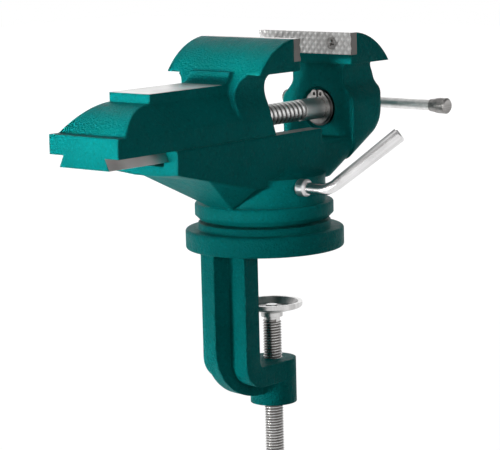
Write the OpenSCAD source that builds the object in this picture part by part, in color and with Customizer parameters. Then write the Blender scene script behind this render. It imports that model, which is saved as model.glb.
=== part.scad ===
// Clamp-on table vise with a swivel base.
// The origin is the centre of the base disc's underside, which rests on the table top.
// +Z is up and +X runs along the main screw, from the anvil end to the tommy bar.

/* [Jaws] */
// Width of both jaws
jaw_w = 75; // [66:1:90]
// Gap between the jaw plates as shown
jaw_gap = 48.6; // [30:0.1:60]
// Widest gap between the jaw plates
jaw_gap_max = 75; // [65:1:80]
// Height of the jaws' top above the table
jaw_top = 131.6; // [128:0.1:140]
// Height of the wide jaw heads
head_h = 19.6; // [17:0.1:22]
// Radius of the round back of each jaw
jaw_back_r = 45.3; // [43:0.1:48]
// Distance of the fixed jaw's gripping face from the swivel axis
fixed_face_x = 42.5; // [40:0.5:46]
// Half the width of the neck under the fixed jaw's head
neck_hw = 20.4; // [18:0.1:22]
// Radius between that neck and the head above it
neck_fillet = 6; // [4:0.5:7]
// Height of the straight neck under that radius
neck_h = 6; // [1:0.5:8]
// Half the width of the neck under the moving jaw's head
moving_neck_hw = 22.4; // [20:0.1:24]
// Radius between the moving jaw's neck and the head above it
moving_neck_fillet = 9; // [6:0.5:10]
// Height of the straight neck under that larger radius
moving_neck_h = 1; // [0.5:0.5:5]
// Height of the fixed jaw's shoulders above the main screw's axis
shoulder_rise = 4; // [2:0.5:8]
// Distance of the round back's centre behind the gripping face
back_d = 1; // [0:0.1:3]
// Setback of the lip under a plate behind the gripping face
lip_d = 0.5; // [0.3:0.1:1.5]
// Setback of the moving jaw's front above the slope
front_d = 17; // [15:0.1:20]
// Setback of the moving jaw's front at the rails
front_low_d = 13.2; // [11:0.1:16]
// Radius of the moving jaw's rear corners
pillar_corner_r = 5; // [3:0.5:8]

/* [Jaw plates] */
// Height of a jaw plate
plate_h = 13.8; // [12:0.1:15]
// Thickness of a jaw plate
plate_t = 6.3; // [5:0.1:7]
// Distance between the two screws of a plate
plate_screw_gap = 44; // [36:1:52]
// Shank diameter of the plate screws
plate_screw_d = 4; // [3:0.5:5]
// Head diameter of the plate screws
plate_screw_head_d = 8; // [7:0.1:9]
// Length of the plate screws
plate_screw_len = 16; // [12:1:20]
// Width of a diamond of the plates' serrations
serration_w = 4.7; // [4:0.1:6]
// Height of a diamond of the plates' serrations
serration_h = 5.8; // [4:0.1:7]
// Width of the grooves between the diamonds
groove_w = 2.8; // [2:0.1:3.2]
// Depth of those grooves
groove_depth = 0.9; // [0.5:0.1:1.2]

/* [Main screw] */
// Height of the main screw's axis
spindle_z = 81.9; // [80:0.1:84]
// Diameter of the main screw's plain journal
spindle_d = 13.8; // [13:0.1:15]
// Diameter of the main screw at the root of its thread
spindle_root_d = 11.4; // [10:0.1:12]
// Length of thread beyond the nut with the jaws at their widest gap
thread_spare = 3.5; // [2:0.5:6]
// Distance of the thread's inner end from the swivel axis
thread_end_x = 36; // [34:1:40]
// Diameter of the main screw's head
spindle_head_d = 17.5; // [16:0.1:19]
// Length of the main screw's head
spindle_head_len = 19; // [17:0.1:22]
// Distance of the tommy bar's axis from the inner face of that head
tommy_back = 13.1; // [9:0.1:14]
// Diameter of the thrust washer
washer_d = 23; // [21:0.5:25]
// Thickness of the thrust washer
washer_t = 2.4; // [2:0.1:3]
// Depth of the thrust washer's seat in the boss
washer_seat = 3.1; // [2.5:0.1:4]
// Gap between the thrust washer and the rim of its seat
washer_gap = 2.4; // [1:0.1:3]
// Outer diameter of the retaining ring
ring_d = 20.4; // [19:0.1:22]
// Thickness of the retaining ring
ring_t = 1.2; // [1:0.1:1.6]
// Depth of the retaining ring's groove in the main screw
ring_groove = 0.7; // [0.5:0.1:1]
// Length of the nut in the moving jaw
nut_len = 22; // [20:1:24]
// Width of the nut in the moving jaw
nut_w = 25; // [23:0.5:26]
// Height of the nut's foot above the dovetail's underside
nut_inset = 2; // [1:0.5:3]
// Setback of the nut behind the moving jaw's front
nut_back = 5; // [3:0.5:8]
// Diameter of the pin that holds the nut
nut_pin_d = 5; // [4:0.5:5]
// Distance of the pin's ends from the dovetail's wide edges
pin_inset = 4; // [3.5:0.5:6]

/* [Tommy bars] */
// Diameter of the main screw's tommy bar
tommy_d = 6.9; // [6:0.1:8]
// Length of the main screw's tommy bar over its knobs
tommy_len = 135; // [120:1:160]
// Sideways shift of the tommy bar as shown
tommy_shift = -1; // [-10:0.5:10]
// Diameter of the knobs on both bars
knob_d = 10; // [9:0.5:12]
// Length of the knobs on both bars
knob_len = 13; // [10:0.5:16]
// Wall of the knobs' thin end round the bar
knob_wall = 0.6; // [0.4:0.1:1]
// Length of the clamp screw's bar over its knobs
clamp_bar_len = 96; // [80:1:110]

/* [Slide] */
// Half the width of the moving jaw's beam
beam_hw = 27.9; // [26.5:0.1:29]
// Height of the beam's underside, which rides on the rails
beam_z = 73.3; // [73:0.1:74]
// Height at which the beam's sides start to slope
beam_slope_z = 84.5; // [82:0.5:88]
// Distance from the moving jaw's gripping face to the end of its tail
tail_len = 150.1; // [145:0.1:160]
// Clearance of the hollow round the main screw
hollow_gap = 1.5; // [1:0.1:2]
// Length of the hollow that the main screw leaves free with the jaws closed
hollow_end = 6; // [4:1:10]
// Half the width of the dovetail at its narrow top
dovetail_top_hw = 16.6; // [15:0.1:18]
// Half the width of the dovetail at its wide bottom
dovetail_bottom_hw = 20; // [19:0.1:21]
// Height of the dovetail
dovetail_h = 7.1; // [6:0.1:7.5]
// Half the width of the anvil
anvil_hw = 16.2; // [14:0.1:18]
// Height of the anvil's top above the table
anvil_z = 106.5; // [105:0.1:108]
// Height of the anvil's block
anvil_h = 5.6; // [4:0.1:7]
// Distance from the moving jaw's gripping face to the anvil's outer end
anvil_end = 111.3; // [105:0.1:120]
// Height of the nose's end face
nose_z = 85; // [84.6:0.1:88]
// Radius of the nose's round top
nose_r = 42; // [40:0.5:60]
// Length of the flat land between that round top and the end face
nose_land = 7.5; // [5:0.5:10]
// Radius between the jaw's back and the anvil
anvil_root_r = 7; // [5:0.5:9]

/* [Swivel body] */
// Half the width of the body's sides
body_hw = 27.3; // [26:0.1:28]
// Distance of the body's tail end from the swivel axis
body_tail = 107; // [100:1:115]
// Half the width of the boss round the main screw
boss_hw = 29.2; // [28:0.1:31]
// Distance of the boss's inner face from the swivel axis
boss_face_x = 55; // [53:0.5:57]
// Radius of the swivel flange
flange_r = 43.5; // [42:0.1:46]
// Height of the swivel flange's underside
flange_z = 18.5; // [18:0.1:20]
// Thickness of the swivel flange
flange_t = 10.5; // [9:0.1:12]
// Radius of the round foot above the flange
foot_r = 38.7; // [37:0.1:40]
// Height at which the foot starts to narrow
foot_z = 46; // [44:0.5:48]
// Half the width of the keel under the body
keel_hw = 8; // [6:0.5:10]
// Height of the sides' lower edge at the tail end
side_end_z = 58.6; // [57:0.1:62]
// Height of the sides' lower edge over the foot
side_foot_z = 42.3; // [42:0.1:46]
// Height of the keel at the tail end
keel_end_z = 57; // [55:0.1:59]
// Distance of the keel's bend from the tail end
keel_bend = 27; // [10:0.5:35]
// Height of the keel at its bend
keel_bend_z = 51.8; // [49:0.1:56]
// Height of the keel where it meets the flange
keel_foot_z = 28; // [26:0.5:29]
// Height of the underside before the slope below the fixed jaw
under_z = 42; // [40:0.5:44]
// Distance of that slope's start from the swivel axis
under_x = 41; // [38:0.5:46]
// Angle of that slope
under_slope = 29.5; // [25:0.5:35]
// Radius between that slope and the boss's rear face
under_r = 20; // [14:0.5:24]
// Radius of the boss's rear corners and of both edges of that slope
boss_corner_r = 9; // [6:0.5:12]
// Radius in the corner of the relief slot
relief_r = 4; // [2:0.5:6]
// Half the width of the channel between the rails
channel_hw = 16; // [14:0.5:17]
// Height of the channel's floor
channel_z = 63; // [60:0.5:65]
// Length of the deeper pocket round the pivot nut
pocket_len = 44; // [38:1:50]
// Thickness of the floor over the spigot
floor_t = 5; // [4:0.5:7]
// Length of the relief slot before the fixed jaw
relief_len = 30; // [26:1:34]
// Height of the relief slot's floor
relief_z = 63.5; // [62:0.5:66]

/* [Base and clamp] */
// Radius of the base disc
disc_r = 49.7; // [48:0.1:54]
// Height of the base disc's rim
disc_h = 12.5; // [11:0.1:14]
// Radius of the step on the base disc
step_r = 41.5; // [40:0.1:42]
// Height of the step's top
step_z = 16.5; // [15.5:0.1:17]
// Radius of the spigot that the body turns on
spigot_r = 22; // [20:0.5:24]
// Height of the spigot's top
spigot_z = 45; // [44:0.5:46]
// Depth of the groove round the spigot
lock_groove = 1.5; // [1:0.1:2]
// Angle between the clamp frame and the main screw as shown
clamp_swing = 8; // [0:1:45]
// Distance of the clamp screw from the swivel axis
clamp_x = 4.2; // [3:0.1:8]
// Distance from the clamp frame's throat face to the clamp screw
throat = 27; // [26:0.1:32]
// Width of the clamp frame's plate
frame_w = 42; // [38:1:44]
// Thickness of the clamp frame's plate
frame_t = 12.6; // [11:0.1:14]
// Width of the clamp frame's rib
rib_w = 10.5; // [9:0.1:13]
// Depth of the clamp frame's rib along its upright
rib_d = 11.5; // [9:0.1:13]
// Depth of the clamp frame's rib along its arm
arm_rib_d = 8.4; // [7:0.1:13]
// Depth of the clamp frame's underside below the table top
frame_depth = 93.2; // [90:0.1:115]
// Radius of the boss round the clamp screw
clamp_boss_r = 14.7; // [13:0.1:16]
// Height of the boss round the clamp screw
clamp_boss_h = 28.2; // [22:0.1:32]
// Drop of that boss below the clamp frame's underside
clamp_boss_drop = 7.2; // [2:0.1:8]
// Outer corner radius of the clamp frame's rib
rib_corner_r = 34; // [24:1:38]
// Outer corner radius of the clamp frame's plate
frame_corner_r = 16; // [12:1:20]
// Inner corner radius of the clamp frame's throat
throat_r = 4; // [2:0.5:8]
// Angle at which both sides of the clamp frame's plate run in to the boss
frame_taper = 9; // [6:0.5:10]

/* [Clamp screw] */
// Thickness of the table that is clamped as shown
table_t = 36; // [20:1:45]
// Root diameter of the clamp screw's thread
clamp_root_d = 10.2; // [9:0.1:11]
// Length of the clamp screw from its pad to its head
clamp_shank_len = 96; // [92:1:110]
// Diameter of the clamp screw's head
clamp_head_d = 16; // [15:0.5:18]
// Length of the clamp screw's head
clamp_head_len = 18; // [16:1:22]
// Radius of the clamp pad
pad_r = 19.5; // [18:0.5:22]
// Height of the clamp pad
pad_h = 9.5; // [8:0.5:11]
// Wall thickness of the clamp pad
pad_wall = 2.6; // [2:0.1:3.5]
// Depth of the clamp pad's dish
dish_depth = 4; // [3:0.1:5]
// Radius of the clamp pad's neck
pad_neck_r = 6.9; // [6:0.1:8]
// Diameter of the spigot that carries the pad
pad_spigot_d = 7; // [6:0.5:8]
// Diameter of the clip over the pad
clip_d = 12; // [10:0.5:14]
// Thickness of the clip over the pad
clip_t = 1; // [0.8:0.1:1.5]

/* [Swivel lock] */
// Height of the lock screw's axis
lock_z = 40.8; // [40:0.1:42]
// Distance of the lock screw's axis from the swivel axis, towards the tail
lock_x = 9; // [4:0.5:12]
// Diameter of the lock screw
lock_d = 8; // [7:0.5:9]
// Diameter of the collar on the lock screw
collar_d = 10.7; // [10:0.1:12]
// Length of the collar on the lock screw
collar_len = 6.5; // [5:0.1:8]
// Depth of the collar's seat in the round foot
collar_sink = 0.5; // [0.3:0.1:1]
// Gap between the collar and the rim of its seat
collar_gap = 1; // [0.5:0.1:1.5]
// Diameter of the lock lever next to its collar
lever_d = 7.2; // [6:0.1:8]
// Diameter of the lock lever at its free end
lever_end_d = 9.2; // [8:0.1:10]
// Length of the lock lever's straight foot
lever_foot = 16.5; // [12:0.5:20]
// Reach of the lock lever's arm away from the body
lever_reach_y = 32.5; // [28:0.5:40]
// Reach of the lock lever's arm along the main screw
lever_reach_x = 29; // [25:0.5:36]
// Rise of the lock lever's arm
lever_rise = 33; // [25:1:40]
// Radius of the lock lever's bend
bend_r = 11; // [8:0.5:14]
// Length of the plug between the lock screw and the spigot
plug_len = 6; // [4:0.5:8]

/* [Pivot] */
// Diameter of the pivot bolt
bolt_d = 10; // [8:1:12]
// Width across the flats of the pivot bolt's head and nut
hex_af = 17; // [15:0.5:19]
// Height of the pivot bolt's head
bolt_head_h = 6.4; // [5:0.1:7]
// Height of the pivot nut
pivot_nut_h = 8; // [7:0.5:9]
// Diameter of the pivot washer
pivot_washer_d = 30; // [25:1:32]
// Thickness of the pivot washer
pivot_washer_t = 2; // [1.5:0.1:2.5]
// Length of the pivot bolt that stands out of its nut
bolt_out = 1.2; // [0.5:0.1:2]

/* [Fits] */
// Radial clearance of turning and sliding fits
fit = 0.08; // [0.04:0.01:0.1]
// Clearance between the dovetail and the rails
slide_gap = 0.15; // [0.1:0.01:0.25]
// Gap between a turning piece's shoulder and its seat
seat_gap = 0.1; // [0.05:0.01:0.2]
// Clearance of free holes and pockets
free_gap = 0.3; // [0.2:0.05:0.5]

/* [Hidden] */

// Overrun of cuts past the faces that they open
over = 1;
// Thickness of the slices that a blended form is drawn between
slice_t = 0.5;
// Chamfer on the ends of rods and screws
tip_len = 1;
// Inset of the fixed jaw's round underside from the boss above it
under_inset = 0.05;
// Steps of a curve that is drawn point by point
steps = 10;
// Facets of small circles
small_fn = 32;
// Facets of full circles
$fn = 96;

// Gripping face of the moving jaw as shown
moving_face_x = fixed_face_x - jaw_gap;
// Underside of the wide jaw heads
head_z = jaw_top - head_h;
// Height of the round back's centre
back_z = jaw_top - sqrt(jaw_back_r * jaw_back_r - (plate_t - back_d) * (plate_t - back_d));
// Farthest reach of a jaw behind its gripping face
jaw_depth = back_d + jaw_back_r;
// Distance of the necks' front behind the gripping face
neck_d = boss_face_x - fixed_face_x;
// Height at which the boss starts to narrow
boss_top_z = spindle_z + shoulder_rise;
// Heights of a plate's underside and of its screws
plate_z = jaw_top - plate_h;
plate_screw_z = plate_z + plate_h / 2;

// A point at radius r and angle a round a centre
function polar(c, r, a) = [c[0] + r * cos(a), c[1] + r * sin(a)];

// Points along an arc from angle a to angle b
function arc(c, r, a, b) = [for (i = [0:steps]) polar(c, r, a + (b - a) * i / steps)];

// Points of an S-curve from a to b, level with the second axis at both ends
function s_curve(a, b) = [for (i = [0:steps])
    [a[0] + (b[0] - a[0]) * (1 - cos(180 * i / steps)) / 2, a[1] + (b[1] - a[1]) * i / steps]];

// Mirrors a half outline to both sides of the second axis
function both_sides(half) = concat(half, [for (i = [len(half) - 1:-1:0]) [-half[i][0], half[i][1]]]);

// Extrudes an outline of (X, Z) points along Y, centred on the XZ plane
module along_y(width) {
    rotate([90, 0, 0]) linear_extrude(width, center = true) children();
}

// Extrudes an outline of (Y, Z) points along X, from x0 over a length
module along_x(x0, length) {
    translate([x0, 0, 0]) rotate([90, 0, 90]) linear_extrude(length) children();
}

// A rod along X
module rod_x(x0, length, d) {
    translate([x0, 0, 0]) rotate([0, 90, 0]) cylinder(h = length, d = d);
}

// A rod along Y
module rod_y(y0, length, d) {
    translate([0, y0, 0]) rotate([-90, 0, 0]) cylinder(h = length, d = d);
}

// Places children written for distance behind the gripping face at the fixed jaw
module at_fixed() {
    translate([fixed_face_x, 0, 0]) children();
}

// The same at the moving jaw, which faces the other way
module at_moving() {
    translate([moving_face_x, 0, 0]) mirror([1, 0, 0]) children();
}

// Side outline of a jaw above a height, from a front face back to the round back
module jaw_side(front, low_z) {
    intersection() {
        translate([back_d, back_z]) circle(r = jaw_back_r, $fn = 2 * $fn);
        translate([front, low_z]) square([jaw_depth - front + over, jaw_top - low_z]);
    }
}

// The wide head of a jaw with the seat of its plate
module jaw_head() {
    difference() {
        along_y(jaw_w) jaw_side(lip_d, head_z);
        translate([-over, -jaw_w / 2 - over, plate_z])
            cube([plate_t + over, jaw_w + 2 * over, plate_h + over]);
        plate_screw_places() rod_x(-over, plate_screw_len + 2 * over, plate_screw_d + 2 * fit);
    }
}

// Front outline of a neck that widens into a boss below and into the head above
module neck_front(low_z, wide_hw, wide_z, hw, fillet, straight) {
    half = concat([[wide_hw, low_z]],
        s_curve([wide_hw, wide_z], [hw, head_z - fillet - straight]),
        [for (i = [0:steps]) polar([hw + fillet, head_z - fillet], fillet, 180 - 90 * i / steps)]);
    polygon(both_sides(half));
}

// Puts children at the two screws of a plate, at the jaw's gripping face
module plate_screw_places() {
    for (side = [-1, 1]) translate([0, side * plate_screw_gap / 2, plate_screw_z]) children();
}

// The pillar of a jaw, between its head and the boss or beam below, round an outline of its neck
module jaw_pillar(front, low_z, wide_hw, corner) {
    intersection() {
        along_y(2 * wide_hw) union() {
            jaw_side(front, back_z);
            translate([front, low_z]) square([jaw_depth - front, back_z - low_z]);
        }
        along_x(0, jaw_depth) children();
        linear_extrude(jaw_top) rounded_end(jaw_depth, wide_hw, corner);
    }
}

// Outline of a block along the first axis with the two corners at its far end rounded
module rounded_end(depth, hw, corner) {
    translate([0, -hw]) square([depth - corner, 2 * hw]);
    translate([0, -hw + corner]) square([depth, 2 * (hw - corner)]);
    for (side = [-1, 1]) translate([depth - corner, side * (hw - corner)]) circle(r = corner);
}

// Cove between the head's underside and the pillar's front, under the gripping face
module front_cove(front, hw, fillet) {
    difference() {
        along_y(2 * hw) translate([front - fillet, head_z - fillet]) square([fillet + over, fillet + over]);
        translate([front - fillet, 0, head_z - fillet]) rod_y(-hw - over, 2 * (hw + over), 2 * fillet);
    }
}

/* Base */

// Half profile of the disc, its step and the spigot
module disc_profile() {
    edge = 1.6;
    difference() {
        union() {
            translate([0, edge]) square([disc_r, disc_h - 2 * edge]);
            square([disc_r - edge, disc_h]);
            translate([disc_r - edge, edge]) circle(r = edge, $fn = small_fn);
            translate([disc_r - edge, disc_h - edge]) circle(r = edge, $fn = small_fn);
            square([step_r, step_z]);
            square([(step_r + spigot_r) / 2, flange_z - seat_gap]);
            square([spigot_r, spigot_z]);
        }
        translate([-disc_r, 0]) square([disc_r, spigot_z + over]);
        polygon([[spigot_r - lock_groove, lock_z], [spigot_r + over, lock_z - lock_groove - over],
            [spigot_r + over, lock_z + lock_groove + over]]);
    }
}

// Outer and throat faces of the clamp frame, from the swivel axis
frame_in = clamp_x - throat;
frame_out = frame_in - frame_t;
arm_z = frame_depth - arm_rib_d;

// Side outline of an angle whose upright's outer face is at u0 and arm's underside at depth d0
module angle_side(u0, d0, t, corner, inner) {
    difference() {
        translate([u0, -d0]) square([clamp_x - u0, d0 + disc_h / 2]);
        translate([u0 + t + inner, -d0 + t]) square([clamp_x - u0, d0 + disc_h]);
        translate([u0 + t, -d0 + t + inner]) square([clamp_x - u0, d0 + disc_h]);
        translate([u0 + t + inner, -d0 + t + inner]) circle(r = inner);
        difference() {
            translate([u0 - over, -d0 - over]) square(corner + over);
            translate([u0 + corner, -d0 + corner]) circle(r = corner);
        }
    }
}

module clamp_base() {
    boss_low = -frame_depth - clamp_boss_drop;
    color([0, 0.47, 0.45]) difference() {
        union() {
            rotate_extrude($fn = 2 * $fn) disc_profile();
            rotate([0, 0, -clamp_swing]) {
                intersection() {
                    along_y(frame_w) angle_side(frame_out, arm_z, frame_t, frame_corner_r, throat_r);
                    linear_extrude(2 * disc_h + 2 * frame_depth, center = true) arm_plan();
                }
                along_y(rib_w) angle_side(frame_out - rib_d, frame_depth, rib_d + frame_t / 2,
                    rib_corner_r, rib_corner_r / 2);
                translate([clamp_x, 0, boss_low]) cylinder(h = clamp_boss_h, r = clamp_boss_r);
            }
        }
        translate([0, 0, -over]) cylinder(h = spigot_z + 2 * over, d = bolt_d + 2 * free_gap);
        translate([0, 0, -over]) hex(bolt_head_h + free_gap + over, hex_af + 2 * free_gap);
        rotate([0, 0, -clamp_swing]) translate([clamp_x, 0, boss_low - over])
            cylinder(h = clamp_boss_h + 2 * over, d = clamp_root_d + 2 * fit);
    }
}

// Plan of the clamp frame's plate, which narrows from its outer face to the boss
module arm_plan() {
    run_in = polar([0, clamp_x], clamp_boss_r - slice_t, frame_taper);
    rotate(-90) polygon(both_sides([[frame_w / 2, frame_out - over], [frame_w / 2, frame_out], run_in]));
}

// A hexagonal prism
module hex(height, across) {
    cylinder(h = height, d = across / cos(30), $fn = 6);
}

/* Pivot */

// Floor of the body over the spigot and its top face in the channel
socket_z = spigot_z + free_gap;
floor_z = socket_z + floor_t;
bolt_len = floor_z + pivot_washer_t + pivot_nut_h + bolt_out - bolt_head_h;

module pivot_bolt() {
    color("silver") {
        hex(bolt_head_h, hex_af);
        translate([0, 0, bolt_head_h]) cylinder(h = bolt_len, d = bolt_d);
    }
}

module pivot_washer() {
    color("silver") translate([0, 0, floor_z]) difference() {
        cylinder(h = pivot_washer_t, d = pivot_washer_d);
        translate([0, 0, -over]) cylinder(h = pivot_washer_t + 2 * over, d = bolt_d + 2 * fit);
    }
}

module pivot_nut() {
    color("silver") translate([0, 0, floor_z + pivot_washer_t]) difference() {
        hex(pivot_nut_h, hex_af);
        translate([0, 0, -over]) cylinder(h = pivot_nut_h + 2 * over, d = bolt_d + 2 * fit);
    }
}

/* Swivel body with the fixed jaw */

rail_z = beam_z - slide_gap;
relief_x = boss_face_x - relief_len;
boss_back_x = fixed_face_x + jaw_depth;
washer_x = boss_face_x + washer_seat - washer_t;
counterbore_r = washer_d / 2 + washer_gap;
// Height of the sides' lower edge above the keel's bend
side_bend_z = side_end_z - keel_bend * (side_end_z - side_foot_z) / (body_tail - foot_r);
// Centre of the round corner between the slope and the boss's rear face
under_cx = boss_back_x - under_r;
under_cz = under_z + (under_cx - under_x) * tan(under_slope) + under_r / cos(under_slope);
// Height above the slope at which the sides are straight
side_rise = (boss_corner_r + over) / cos(under_slope);

// One rib of the body's boat shape: half widths of side and keel, and their heights
module rib(x, top, side_hw, side_z, keel, keel_z) {
    along_x(x, slice_t) polygon([[-side_hw, top], [-side_hw, side_z], [-keel, keel_z],
        [keel, keel_z], [side_hw, side_z], [side_hw, top]]);
}

// Half profile of the swivel flange and the round foot
module foot_profile() {
    edge = 1.4;
    lip = 3;
    top = flange_z + flange_t;
    polygon(concat([[0, flange_z], [flange_r - lip, flange_z], [flange_r, flange_z + lip]],
        arc([flange_r - edge, top - edge], edge, 0, 90),
        [[foot_r, top], [foot_r, foot_z]],
        [for (i = [1:steps]) polar([foot_r, foot_z + foot_r - body_hw], foot_r - body_hw,
            270 - 90 * i / steps)],
        [[0, foot_z + foot_r - body_hw]]));
}

// Dovetail outline, grown by a gap, with the channel below it
module dovetail(gap) {
    polygon([[-dovetail_top_hw - gap, beam_z + over], [-dovetail_top_hw - gap, beam_z],
        [-dovetail_bottom_hw - gap, beam_z - dovetail_h - gap],
        [dovetail_bottom_hw + gap, beam_z - dovetail_h - gap],
        [dovetail_top_hw + gap, beam_z], [dovetail_top_hw + gap, beam_z + over]]);
}

module swivel_body() {
    color([0, 0.47, 0.45]) difference() {
        union() {
            rotate_extrude($fn = 2 * $fn) foot_profile();
            hull() {
                rib(-body_tail, rail_z, body_hw, side_end_z, keel_hw, keel_end_z);
                rib(keel_bend - body_tail, rail_z, body_hw, side_bend_z, keel_hw, keel_bend_z);
            }
            hull() {
                rib(keel_bend - body_tail, rail_z, body_hw, side_bend_z, keel_hw, keel_bend_z);
                rib(-foot_r, rail_z, body_hw, side_foot_z, keel_hw, keel_foot_z);
            }
            along_y(2 * body_hw) polygon([[-foot_r, rail_z], [-foot_r, side_foot_z],
                [under_x - side_rise / tan(under_slope), under_z],
                [boss_face_x, under_z + (boss_face_x - under_x) * tan(under_slope) + side_rise],
                [boss_face_x, rail_z]]);
            boss_underside();
            at_fixed() {
                jaw_head();
                jaw_pillar(neck_d, under_cz, boss_hw, boss_corner_r)
                    neck_front(under_cz, boss_hw, boss_top_z, neck_hw, neck_fillet, neck_h);
                front_cove(neck_d, neck_hw, neck_fillet);
            }
        }
        translate([0, 0, flange_z - over]) cylinder(h = socket_z - flange_z + over, r = spigot_r + fit);
        translate([0, 0, socket_z - over]) cylinder(h = floor_z - socket_z + 2 * over,
            d = bolt_d + 2 * free_gap);
        along_x(-body_tail - over, body_tail + relief_x + 2 * over) dovetail(slide_gap);
        translate([-body_tail - over, -channel_hw, channel_z])
            cube([body_tail + relief_x + 2 * over, 2 * channel_hw, rail_z - channel_z]);
        translate([-pocket_len / 2, -channel_hw, floor_z])
            cube([pocket_len, 2 * channel_hw, rail_z - floor_z]);
        relief();
        translate([0, 0, spindle_z]) {
            rod_x(boss_face_x - relief_len / 2, relief_len * 2, spindle_d + 2 * fit);
            rod_x(boss_face_x - over, washer_seat + over, 2 * counterbore_r);
        }
        translate([-lock_x, 0, lock_z]) {
            rod_y(-foot_r - over, foot_r + over - spigot_r / 2, lock_d + 2 * fit);
            rod_y(-foot_r - over, foot_r + over - collar_y, collar_d + 2 * collar_gap);
        }
    }
}

// Underside of the fixed jaw: the slope, the round corner behind it and the boss above both
module boss_underside() {
    hw = boss_hw - under_inset;
    translate([under_cx, 0, under_cz]) rotate([90, 0, 0]) rotate([0, 0, under_slope - 90])
        rotate_extrude(angle = 90 - under_slope) under_section(hw);
    intersection() {
        slope_block(hw);
        along_y(2 * hw) translate([boss_face_x, under_z]) square([boss_back_x - boss_face_x, jaw_top]);
    }
    intersection() {
        slope_block(body_hw);
        along_y(2 * hw) translate([0, under_z]) square([boss_face_x + over, jaw_top]);
    }
    along_y(2 * hw) polygon([[boss_face_x, under_cz + over], [under_cx, under_cz + over],
        [under_cx, under_cz - over],
        [boss_face_x, under_cz - over - (under_cx - boss_face_x) * tan(under_slope)]]);
}

// Section of that underside from the round corner's centre line outwards, with both edges rounded
module under_section(hw) {
    rounded_end(under_r - under_inset, hw, boss_corner_r - under_inset);
}

// Block along the slope, up to the round corner
module slope_block(hw) {
    reach = under_cx / cos(under_slope);
    translate([under_cx, 0, under_cz]) rotate([0, 90 - under_slope, 0]) translate([0, 0, -reach])
        linear_extrude(reach) under_section(hw);
}

// Face that the lock screw's collar seats on
collar_y = sqrt(foot_r * foot_r - lock_x * lock_x) - collar_sink;

// Slot across the body before the fixed jaw, with a rounded floor corner
module relief() {
    along_y(2 * boss_hw + 2 * over) {
        translate([relief_x + relief_r, relief_z]) square([relief_len - relief_r, head_z - relief_z]);
        translate([relief_x, relief_z + relief_r]) square([relief_len, head_z - relief_z - relief_r - over]);
        translate([relief_x + relief_r, relief_z + relief_r]) circle(r = relief_r);
    }
}

/* Jaw plates */

// Depth of the plate screws' countersunk heads
sink = (plate_screw_head_d - plate_screw_d) / 2;

module jaw_plate() {
    difference() {
        translate([0, -jaw_w / 2, plate_z]) cube([plate_t, jaw_w, plate_h]);
        serrations();
        plate_screw_places() {
            rod_x(-over, plate_t + 2 * over, plate_screw_d + 2 * fit);
            rotate([0, 90, 0]) translate([0, 0, -over]) cylinder(h = over + sink + fit,
                d1 = plate_screw_head_d + 2 * fit + 2 * over, d2 = plate_screw_d);
        }
    }
}

// Crossed V grooves that leave diamonds on the gripping face
module serrations() {
    lean = atan2(serration_w, serration_h);
    half = groove_w / 2 * (1 + over / groove_depth);
    reach = plate_h / cos(lean) + 2 * groove_w;
    count = ceil((jaw_w + plate_h * tan(lean)) / serration_w / 2);
    for (side = [-1, 1], i = [-count:count - 1])
        translate([0, (i + 1 / 2) * serration_w, plate_screw_z]) rotate([side * lean, 0, 0])
            linear_extrude(reach, center = true)
                polygon([[-over, -half], [groove_depth, 0], [-over, half]]);
}

module plate_screws() {
    plate_screw_places() rotate([0, 90, 0]) {
        translate([0, 0, fit])
            cylinder(h = sink - fit, d1 = plate_screw_head_d - 2 * fit, d2 = plate_screw_d);
        translate([0, 0, sink]) cylinder(h = plate_screw_len - sink, d = plate_screw_d);
    }
}

module fixed_jaw_plate() {
    color("gainsboro") at_fixed() jaw_plate();
}

module moving_jaw_plate() {
    color("gainsboro") at_moving() jaw_plate();
}

module fixed_plate_screws() {
    color("dimgray") at_fixed() plate_screws();
}

module moving_plate_screws() {
    color("dimgray") at_moving() plate_screws();
}

/* Moving jaw */

// Span of the nut behind the moving jaw's gripping face
nut_d = front_d + nut_back;
// Height of the nut's top and bottom
nut_top_z = spindle_z + nut_w / 2;
nut_low_z = beam_z - dovetail_h + nut_inset;
pin_z = (nut_low_z + spindle_z - spindle_d / 2) / 2;

// Side outline of the beam with the anvil, the round nose and the land at its foot
module beam_side() {
    anvil_foot_z = anvil_z - anvil_h;
    chord = [tail_len - nose_land - anvil_end, nose_z - anvil_foot_z];
    fall = atan2(-chord[1], chord[0]);
    sag = sqrt(nose_r * nose_r - chord * chord / 4);
    polygon([[front_low_d, beam_z], [front_d, beam_slope_z], [front_d, anvil_z], [anvil_end, anvil_z],
        [anvil_end, nose_z], [tail_len, nose_z], [tail_len, beam_z]]);
    intersection() {
        translate([anvil_end + chord[0] / 2 - sag * sin(fall), anvil_foot_z + chord[1] / 2 - sag * cos(fall)])
            circle(r = nose_r, $fn = 4 * $fn);
        translate([anvil_end - anvil_h, beam_z]) square([chord[0] + anvil_h + over, anvil_z - beam_z]);
    }
}

// Section of the beam: upright sides, slopes and the anvil
module beam_section() {
    polygon(both_sides([[beam_hw, beam_z], [beam_hw, beam_slope_z], [anvil_hw, anvil_z - anvil_h],
        [anvil_hw, anvil_z]]));
}

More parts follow.
